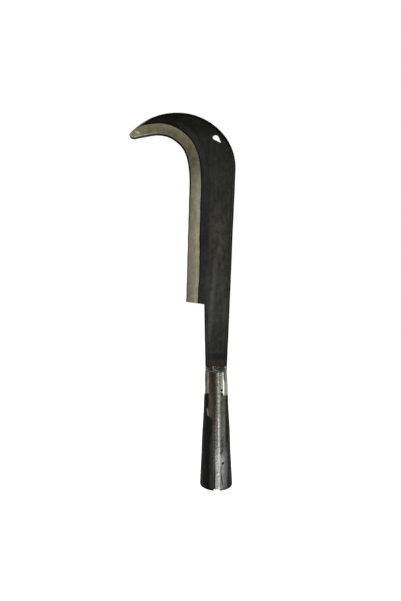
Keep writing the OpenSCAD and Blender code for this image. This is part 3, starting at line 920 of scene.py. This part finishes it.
def forged_steel(finish):
    """Forge scale with a blued band, rubbed streaks and heat tint, and a bevel ground to bare steel, with
    painted light and shade.
    """
    net = Steel("forged_steel")
    x, z = net.x, net.z
    grind, edge, back, side, beak = (net.mark(name) for name in BLADE_MARKS)
    ragged = net.stray(0.004, 0.0005, 3.0) + net.stray(0.0010, 0.0003, 2.0)
    bare = net.fade(grind + ragged, -0.00010, 0.00010)
    cloud = net.grit(0.026, (1, 1, 1.8), 4.0, 0.5)
    speck = net.grit(0.0017, (1, 1, 1.4))
    mottle = net.grit(0.0036, (1, 1, 1.5), 4.0, 0.6)
    streak = net.grit(0.0030, (1, 1, 16), 3.0, 0.5)

    # Scale: blued beside the bevel, black along it, darkened by painted shade round the hook and on the
    # crown, with a rubbed streak
    # Painted shade: darker towards the top of the hook, near the back at the top, and round the hook
    hook_top_shade = net.step(z, 0.318, 0.346, 0.0, 0.32) + net.step(z, 0.354, 0.374, 0.0, 0.40)
    crown = net.step(z, 0.344, 0.366) * net.fade(back, 0.002, 0.007)
    rubbed_x = (z - 0.19) * 0.09 - 0.0047
    rubbed = net.hump(x - rubbed_x, 0.0, 0.0046) * net.band(z, 0.150, 0.233, 0.011)
    scale = net.coats(
        finish.scale,
        # Painted light: a lighter band across the neck and the lower blade
        (finish.pale_scale_and_light, net.step(z, 0.245, 0.205) * net.step(z, 0.155, 0.182)),
        (finish.dark_scale_and_shade, hook_top_shade),
        (finish.dark_scale_and_shade, net.hump(grind, 0.0078, 0.0030) * 0.26),
        (finish.scale_blue, net.band(grind + ragged, 0.0012, 0.0068, 0.0016) * 0.9),
        (finish.dark_scale_and_shade, net.most(crown * 0.55, net.step(beak, 0.25, 0.60) * 0.85)),
        (finish.scale_rub, rubbed * (streak * 0.5 + 0.55)))

    # A plain worn patch, softly clouded where the scale is thin, a few brown spots and a scratch
    patch = net.hump(x, 0.0035, 0.0150) * net.hump(z, 0.257, 0.044)
    thin = net.step(net.noise(0.0075, 4.0, (1, 1, 1.6), 0.55), 0.40, 0.66)
    spots = net.step(net.noise(0.007, 5.0, (1, 1, 1.4), 0.6), 0.58, 0.72)
    scratch = net.hump(z + x * 0.06, 0.1785, 0.0004) * net.band(x, -0.004, 0.009, 0.002)
    scale = net.coats(
        scale,
        (finish.flaked, patch * (thin * 0.40 + 0.08)),
        (finish.rust, spots * 0.30),
        (finish.scale_rub, scratch * 0.5))

    # Heat of the neck weld: a blue-black band, then brown with darker waves
    heat = z + net.stray(0.004, 0.002)
    tint = net.band(heat, 0.1215, 0.1290, 0.0010) * net.band(x, -0.0085, 0.0092, 0.0012)
    waves = net.step(net.noise(0.0022, 3.0, (2.4, 1, 0.6)), 0.42, 0.56, 0.15, 1.0)
    scale = net.coats(
        scale,
        (finish.heat_blue, net.band(heat, 0.1300, 0.1362, 0.0016) * net.step(x, -0.016, 0.002)),
        (finish.rust, tint * waves))
    scale = net.brighten(scale, 0.66 + cloud * 0.18 + mottle * 0.46 + streak * 0.30 + speck * 0.12)

    # Corners: black painted shade, with a thin rubbed line inside, and a black line along the grind line
    rim = net.math("MINIMUM", back, side)
    black_w = net.step(z, 0.335, 0.360, 0.0017, 0.0027)
    scale = net.coats(
        scale,
        (finish.dark_scale_and_shade, net.hump(rim, 0.0031, 0.0009) * 0.55),
        (finish.scale_rub, net.hump(rim, 0.0020, 0.0007) * net.step(z, 0.36, 0.33, 0.15, 0.55)),
        (finish.black_and_shade, net.fade(rim + ragged * 0.5 - black_w, -0.0006, 0.0)),
        (finish.black_and_shade, net.step(grind, 0.0009, 0.0018, 0.9, 0.0)))

    # Bevel: dull towards the edge and round the hook, pale beside the scale, with brown passes of the stone
    marks = net.grain(grind * 2600.0, z * 90.0, x * 90.0, 2.0)
    passes = net.noise(0.010, 4.0, (1, 1, 2.6))
    brown = net.step(passes, 0.46, 0.66) * net.band(grind, -0.0098, -0.0040, 0.0014)
    hook_lane = net.step(z, 0.315, 0.345) * net.step(beak, 0.9, 0.6)
    dark_w = net.step(z, 0.27, 0.33, 0.0014, 0.0021)
    # Painted shade: a black line along the cutting edge, wider and stronger higher up
    edge_shade = net.fade(edge - dark_w, -0.0007, 0.0) * net.step(z, 0.24, 0.32, 0.6, 1.0)
    # Painted highlight: a bright line along the beak's edge
    honed_and_highlight = net.step(beak, 0.52, 0.66) * net.hump(edge, 0.0026, 0.0008)
    shadow = net.hump(z, 0.345, 0.026) * 0.30 + net.step(z, 0.235, 0.300) * 0.16
    steel = net.coats(
        finish.bevel_dull,
        (finish.bevel, net.step(edge, 0.0010, 0.0062)),
        (finish.bevel_bright, net.step(grind, -0.0062, -0.0022) * 0.9),
        (finish.bevel_brown, brown * net.step(z, 0.345, 0.250, 0.75, 0.55)),
        (finish.bevel_hook, net.step(z, 0.300, 0.340) * 0.9),
        (finish.bevel, hook_lane * net.step(grind, -0.0060, -0.0016) * 0.45),
        (finish.bevel_brown, hook_lane * net.step(passes, 0.48, 0.62) * 0.5),
        (finish.bevel_bright, net.step(beak, 0.78, 0.97, 0.05, 0.45)),
        (finish.bevel_bright, net.hump(edge, 0.0021, 0.0008) * 0.35),
        (finish.black_and_shade, edge_shade * net.step(beak, 0.6, 0.8, 1.0, 0.75)),
        (finish.honed_and_highlight, honed_and_highlight * (net.step(beak, 0.66, 0.92, 0.0, 0.40) + 0.08 * mottle)))
    steel = net.brighten(steel, 0.60 + marks * 0.22 + passes * 0.20 + speck * 0.16 + mottle * 0.24 - shadow)

    # The beak's brow: black painted shade inside, worn to a grey line at the corner, with a pale spot on the
    # nose
    brow = net.step(beak, 0.806, 0.862)
    nose = net.hump(x, -0.0822, 0.0038) * net.hump(z + x * 0.25, 0.34695, 0.0018)
    base = net.coats(
        scale,
        (steel, bare),
        (finish.black_and_shade, brow * net.hump(back, 0.0027, 0.0008) * net.step(beak, 0.98, 0.88, 0.2, 0.7)),
        (finish.worn_line, brow * net.fade(back + ragged, 0.0013, 0.0019) * 0.72),
        (finish.honed_and_highlight, nose * 0.55))

    lumps = net.noise(0.0022, 5.0, (1, 1, 1.6), 0.62)
    rough = net.step(bare, 0.0, 1.0, 0.60, 0.42) + (speck - 0.5) * 0.22
    covered = 1.0 - bare
    relief = lumps * covered * 0.00009 + marks * bare * 0.000012 + covered * 0.00008
    return net.finish(base, bare * 0.85, rough, relief, 0.04)


def rolled_sheet(finish):
    """Mill scale, worn grey beside the seam, and ground to bare steel round the small end, with painted
    highlights and shade.
    """
    net = Steel("rolled_sheet")
    x, z = net.x, net.z
    front = net.fade(net.y, -0.003, 0.003)
    cloud = net.noise(0.012, 5.0, (1, 1, 2.5), 0.55)
    speck = net.grit(0.0014, (1, 1, 1.6))
    streak = net.grit(0.0018, (1, 1, 9))
    wander = net.stray(0.006, 0.003, 3.0)
    near_x, far_x, far_z = x + wander * 0.3, x + wander * 0.6, z + wander

    # Scale: black on the left and far right, grey-green and mottled in the strip right of the seam
    strip = net.band(far_x, 0.0020, 0.0088, 0.0014) * front
    worn_low = net.band(far_x, -0.0068, -0.0026, 0.0012) * front * net.step(z, 0.056, 0.040)
    mottle = net.step(net.noise(0.0028, 4.0, (1, 1, 1.6), 0.6), 0.42, 0.56)
    mottled = net.most(net.band(far_z, 0.028, 0.052, 0.006), net.band(far_z, 0.076, 0.091, 0.003) * 0.35)
    flecks = net.step(net.noise(0.0017, 3.0, (1, 1, 2.2), 0.6), 0.54, 0.64)
    scale = net.coats(
        finish.sheet,
        (finish.sheet_warm, net.step(x, -0.0105, -0.0050) * front * 0.8),
        (finish.sheet_blue, strip),
        (finish.pale_scale_and_light, worn_low * 0.9),
        (finish.sheet_green, strip * net.band(far_z, 0.047, 0.074, 0.006) * 0.95),
        (finish.sheet_green, net.step(z, 0.074, 0.084) * strip * 0.55),
        (finish.sheet, strip * (mottled * 0.75 + 0.2) * mottle),
        (finish.sheet_pale, strip * flecks * net.step(z, 0.080, 0.060, 0.10, 0.30)))

    # Scale near the mouth, worn pale and smooth grey, and the bright and dark lines on both sides of the seam
    waver = far_z + net.stray(0.005, 0.022, 4.0, (1, 1, 2))
    low = net.fade(waver, 0.026, 0.040)
    smooth = net.fade(waver, 0.032, 0.052) * net.step(z, 0.001, 0.018, 0.6, 1.0)
    fresh = net.hump(x, 0.0048, 0.0046) * net.hump(far_z, 0.0295, 0.0085) * front
    curl_z = 0.0775 + x * 0.35 + net.stray(0.003, 0.003, 2.0)
    curl = net.hump(z - curl_z, 0.0, 0.0006) * net.band(x, 0.0032, 0.0072, 0.0006) * front
    toe = net.band(far_x, -0.0050, -0.0030, 0.0008) * front
    lip = net.band(near_x, -0.0039, -0.0024, 0.0004) * front * net.step(z, 0.088, 0.070)
    spots = net.step(net.noise(0.006, 5.0, (1, 1, 2.0), 0.6), 0.58, 0.70)
    scale = net.coats(
        scale,
        (finish.sheet_grey, net.band(far_x, 0.0062, 0.0108, 0.0014) * front * smooth * 0.8),
        (finish.sheet_pale, net.band(far_x, 0.0015, 0.0074, 0.0014) * front * low),
        (finish.sheet_blue, net.band(far_x, 0.0030, 0.0105, 0.0010) * low * mottle * front * 0.4),
        (finish.seam_pale, net.math("MINIMUM", fresh * 1.3, 1.0)),
        # Painted highlight: a bright line right of the seam
        (finish.polish_and_highlight, net.hump(near_x, 0.0032, 0.0010) * front * net.step(z, 0.034, 0.046, 0.8, 0.5)),
        (finish.pale_grinding_and_highlight, curl),
        (finish.scale_rub, toe * net.band(z, 0.034, 0.066, 0.012) * 0.65),
        (finish.seam, lip * 0.5),
        (finish.rust, spots * 0.22),
        # Painted shade: dark along the bottom of the mouth, most on the left
        (finish.dark_scale_and_shade, net.fade(z, 0.0008, 0.0024) * net.step(x, -0.001, 0.006, 0.95, 0.5)))
    scale = net.brighten(scale, 0.52 + cloud * 0.22 + speck * 0.52 + streak * 0.26)

    # Ground steel: grey at the left, tinted brown by the weld in the middle, bright at the right partly as
    # painted light
    browned = net.band(near_x, -0.0079, -0.0010, 0.0006) * front
    # Painted highlight: a bright band on the right of the ring, and a dark painted reflection line beside it
    highlight_band = net.band(x + wander * 0.2, 0.0069, 0.0078, 0.0004) * front * net.step(z, 0.1165, 0.1100, 0.2, 1.0)
    dark_reflection_line = net.band(near_x, 0.0078, 0.0092, 0.0004) * net.step(z, 0.1065, 0.1090) * front
    hoops = net.grit(0.0010, (14, 14, 1))
    grit = net.grit(0.0013)
    dull_top = net.step(z, 0.1060, 0.1115) * 0.2
    steel = net.coats(
        finish.ground,
        # Painted highlight: a pale streak at the left, with painted shade just outside it
        (finish.pale_grinding_and_highlight, net.band(near_x, -0.0097, -0.0078, 0.0005) * 0.4),
        (finish.dark_scale_and_shade, net.hump(near_x, -0.0103, 0.0010) * 0.85),
        (finish.ground_brown, browned * (0.85 + 0.15 * cloud)),
        (finish.pale_grinding_and_highlight, net.band(near_x, 0.0014, 0.0120, 0.0010) * front * 0.9),
        (finish.polish_and_highlight, highlight_band * 0.75),
        (finish.dark_scale_and_shade, dark_reflection_line * 0.85))
    steel = net.brighten(steel, 0.52 + hoops * 0.16 + grit * 0.62 + cloud * 0.18 - dull_top)

    # Where it is ground: the ring round the small end, a tongue that runs down from it, and a small glint,
    # which is a painted highlight
    ring_z = net.step(x, -0.0125, -0.0085, 0.0936, 0.0962) - net.step(x, -0.004, 0.004, 0.0, 0.0017)
    ring_z = ring_z - net.step(x, 0.0075, 0.0100, 0.0, 0.0010) + net.hump(x, 0.0050, 0.0024) * 0.0034
    ring = net.step(z + wander * 0.5 - ring_z, -0.0004, 0.0006)
    tongue = net.band(near_x, -0.0077, -0.0026, 0.0007) * net.step(far_z + x * 0.6, 0.0665, 0.0700) * front
    bare = net.most(ring, tongue)
    steel = net.brighten(steel, 1.0 + tongue * net.step(z, 0.0960, 0.0930) * 0.45)
    glint = net.hump(x + (z - 0.078) * 0.12, -0.0090, 0.0013) * net.band(z, 0.0735, 0.0806, 0.0012) * front

    # Pits of the weld, each at x and z with its radius, and a cold lap below them, all right of the seam
    pits = ((0.0064, 0.0267, 0.0017), (0.0051, 0.0999, 0.0017), (0.0056, 0.0955, 0.0016))
    lap_x = x + net.stray(0.005, 0.0022, 2.0)
    lap = net.hump(lap_x + z * 0.1, 0.0062, 0.0007) * net.band(z, 0.0050, 0.0235, 0.0015)
    pit = net.most(*(net.spot(*place) for place in pits), lap) * front
    base = net.coats(scale, (steel, bare), (finish.pale_grinding_and_highlight, glint * 0.9), (finish.dark_scale_and_shade, pit * 0.95))
    rough = net.step(bare, 0.0, 1.0, 0.54, 0.32) + (speck - 0.5) * 0.24
    lumps = net.noise(0.002, 5.0, (1, 1, 1.5), 0.6)
    relief = lumps * (1.0 - bare) * 0.00008 + hoops * bare * 0.00002 - pit * 0.0003
    return net.finish(base, bare * 0.8, rough, relief, 0.03)


def seam_metal(finish):
    """Bead ground flat: grey-brown and gritty on the left, a painted highlight line along its right edge, and
    painted shade over its left side.
    """
    net = Steel("seam_metal")
    x, z = net.x, net.z
    grit = net.grit(0.0012, (1, 1, 1.2))
    cloud = net.noise(0.005, 4.0, (1, 1, 2.0))
    wander = net.stray(0.008, 0.0012, 3.0)
    brown = net.step(z, 0.062, 0.084) * net.fade(x, -0.0008, 0.0010)
    # Painted highlight: a bright line along the right edge of the bead
    line = net.hump(x + wander - net.step(z, 0.015, 0.095, 0.0029, 0.0021), 0.0, 0.0015)
    # Painted shade: dark over the left of the bead and darkest along its left edge
    toe = net.fade(x + wander * 0.3, -0.0024, 0.0004) * net.step(z, 0.008, 0.022, 0.2, 0.75)
    groove_side_shade = net.fade(x - net.step(z, 0.020, 0.034, 0.0005, 0.0), -0.0022, -0.0014)
    base = net.coats(
        finish.seam,
        (finish.seam_pale, net.step(z, 0.030, 0.048, 1.0, 0.1)),
        (finish.polish_and_highlight, net.hump(z, 0.030, 0.012) * net.step(x, -0.0012, 0.0012) * 0.15),
        (finish.ground_brown, brown * 0.8),
        (finish.polish_and_highlight, line * net.step(z, 0.064, 0.080, 0.85, 0.3)),
        (finish.dark_scale_and_shade, net.most(toe * 0.75, groove_side_shade * 0.85)))
    base = net.brighten(base, 0.30 + grit * 1.16 + cloud * 0.24)
    pits = net.fade(net.cells(0.0019), 0.12, 0.26) * net.step(cloud, 0.42, 0.56)
    # Near-black painted shade on the groove's root and wall
    base = net.coats(base, (finish.dark_scale_and_shade, pits * 0.6), (GROOVE_SHADE_BLACK, net.mark("shaded_groove")))
    return net.finish(base, 0.75, grit * 0.25 + 0.22, grit * 0.00014 - pits * 0.00012, 0.4)


def fillet_metal(finish):
    """Neck weld: ground away on the left, curled ripples in the middle, dark blue steel with painted shade on
    the right.
    """
    net = Steel("fillet_metal")
    x, z = net.x, net.z
    grit = net.grit(0.0013)
    cloud = net.noise(0.004, 4.0)
    wander = net.stray(0.003, 0.002)
    curls = net.hump(net.noise(0.0030, 2.0, (1, 1, 0.7)), 0.52, 0.030) * net.hump(x, -0.0004, 0.0056)
    base = net.coats(
        finish.seam,
        (finish.ground_brown, net.step(x + wander, -0.0125, -0.0085, 0.35, 0.8)),
        (finish.seam, net.step(z, 0.1208, 0.1225) * 0.25),
        # Painted shade: the hollow on the right is darkened with blue steel
        (finish.weld_blue_and_shade, net.step(x + wander, -0.0020, 0.0) * 0.95),
        (finish.dark_scale_and_shade, net.hump(x, -0.0022, 0.0040) * net.step(cloud, 0.47, 0.53) * 0.95),
        (finish.polish_and_highlight, net.step(curls, 0.05, 0.45)),
        (finish.polish_and_highlight, net.spot(0.0092, 0.1222, 0.0011) * 0.9))
    base = net.brighten(base, 0.48 + grit * 0.80 + cloud * 0.20)
    return net.finish(base, 0.7, grit * 0.3 + 0.22, grit * 0.00012 + curls * 0.00015, 0.3)


def floor_paint():
    """White floor that reads as white to the camera and in reflections, and keeps the shadow of the head."""
    net = Net(bpy.data.materials.new("floor_paint"))
    paint = net.add("BsdfDiffuse", {"Color": (0.8, 0.8, 0.8, 1)})
    white = net.add("AddShader", (paint, net.add("Emission", {"Strength": 0.8})))
    net.node("OutputMaterial", {"Surface": net.add("MixShader", (net.seen_directly(), paint, white))})
    return net.owner


# Operators


class BILLHOOK_OT_blade(Operator):
    """Builds the forged blade with its neck, tang and hanging hole"""
    bl_idname = "billhook.blade"
    bl_label = "Forged Blade"

    def execute(self, context):
        settings = context.scene.billhook
        outline, shell, marks = blade_shell(settings.blade, settings.socket, settings.stage.seed)
        hidden = {**dict.fromkeys(BLADE_MARKS, FAR), "beak": 0.0}
        metal = forged_steel(settings.finish)
        piece = add_piece("forged_blade", shell, marks, ["blade"], metal)
        combine(piece, tang_shell(settings.blade, settings.socket), hidden, "UNION")
        combine(piece, drop_cutter(settings.blade, outline), hidden, "DIFFERENCE")
        shade(piece)
        return {"FINISHED"}


class BILLHOOK_OT_socket(Operator):
    """Builds the rolled socket"""
    bl_idname = "billhook.socket"
    bl_label = "Rolled Socket"

    def execute(self, context):
        settings = context.scene.billhook
        shell = socket_shell(settings.socket, settings.stage.seed)
        metal = rolled_sheet(settings.finish)
        shade(add_piece("rolled_socket", shell, {}, ["socket"], metal))
        return {"FINISHED"}


class BILLHOOK_OT_welds(Operator):
    """Builds the seam weld and the two fillets between the neck and the socket"""
    bl_idname = "billhook.welds"
    bl_label = "Welds"

    def execute(self, context):
        settings = context.scene.billhook
        seed = settings.stage.seed
        seam, marks = seam_shell(settings.socket, seed)
        bead = add_piece("seam_bead", seam, marks, ["seam_weld"], seam_metal(settings.finish))
        shade(bead, 60)
        metal = fillet_metal(settings.finish)
        for name, node, front, draw in (("front_fillet", "neck_weld_front", True, seed),
                                        ("back_fillet", "neck_weld_back", False, seed + 5)):
            shell = fillet_shell(settings.socket, settings.blade.plate_t / 2, front, draw)
            shade(add_piece(name, shell, {}, [node], metal), 50)
        return {"FINISHED"}


class BILLHOOK_OT_stage(Operator):
    """Sets up the camera, the lamps, the white surroundings and the floor"""
    bl_idname = "billhook.stage"
    bl_label = "Stage"

    def execute(self, context):
        scene = context.scene
        settings = scene.billhook.stage
        scene.view_settings.view_transform = "Standard"
        camera = add_object("camera", bpy.data.cameras.new("camera"))
        camera.data.sensor_width = 36
        camera.data.lens = settings.lens
        camera.data.clip_start = 0.01
        camera.location = (settings.camera_x, settings.camera_y, settings.camera_z)
        camera.rotation_euler = (QUARTER, 0, 0)
        scene.camera = camera
        for softbox in SOFTBOXES:
            self.lamp(*softbox)
        self.surroundings(scene)
        mesh = bpy.data.meshes.new("floor")
        signs = ((-1, -1), (1, -1), (1, 1), (-1, 1))
        corners = [(x * FLOOR_HALF, y * FLOOR_HALF, settings.floor_z) for x, y in signs]
        mesh.from_pydata(corners, [], [(0, 1, 2, 3)])
        mesh.materials.append(floor_paint())
        floor = add_object("floor", mesh)
        return {"FINISHED"}

    def lamp(self, name, place, size, watts, reflected):
        """A rectangular softbox that faces the middle of the head."""
        data = bpy.data.lights.new(name, "AREA")
        data.shape = "RECTANGLE"
        data.size, data.size_y = size
        data.energy = watts
        lamp = add_object(name, data)
        lamp.location = place
        lamp.visible_glossy = reflected
        x, y, z = np.array(HEAD_MIDDLE) - np.array(place)
        lamp.rotation_euler = (math.atan2(math.hypot(x, y), -z), 0, math.atan2(x, -y) + math.pi)

    def surroundings(self, scene):
        """White to the camera and to reflections, and a soft grey light otherwise."""
        net = Net(bpy.data.worlds.new("surroundings"))
        soft = net.add("Background", {"Color": (1, 1, 1, 1), "Strength": 0.45})
        white = net.add("Background", {"Color": (1, 1, 1, 1), "Strength": 1.0})
        net.node("OutputWorld", {"Surface": net.add("MixShader", (net.seen_directly(), soft, white))})
        scene.world = net.owner


class BILLHOOK_PT_panel(Panel):
    """Lists the pieces and their sizes"""
    bl_idname = "BILLHOOK_PT_panel"
    bl_label = "Billhook"
    bl_space_type = "VIEW_3D"
    bl_region_type = "UI"
    bl_category = "Billhook"

    def draw(self, context):
        settings = context.scene.billhook
        for operator in ("billhook.blade", "billhook.socket", "billhook.welds", "billhook.stage"):
            self.layout.operator(operator)
        for group in (settings.blade, settings.socket, settings.finish, settings.stage):
            box = self.layout.box()
            for key in group.__annotations__:
                box.prop(group, key)


CLASSES = (BladeSizes, SocketSizes, Finishes, StageSettings, BillhookSettings, BILLHOOK_OT_blade,
           BILLHOOK_OT_socket, BILLHOOK_OT_welds, BILLHOOK_OT_stage, BILLHOOK_PT_panel)


def register():
    """Registers the classes, and the settings on the scene."""
    for cls in CLASSES:
        bpy.utils.register_class(cls)
    bpy.types.Scene.billhook = PointerProperty(type=BillhookSettings)


def unregister():
    """Takes the settings and the classes out again."""
    del bpy.types.Scene.billhook
    for cls in reversed(CLASSES):
        bpy.utils.unregister_class(cls)


def main():
    """Builds the stage and the pieces."""
    register()
    bpy.ops.billhook.stage()
    bpy.ops.billhook.blade()
    bpy.ops.billhook.socket()
    bpy.ops.billhook.welds()


if __name__ == "__main__":
    main()
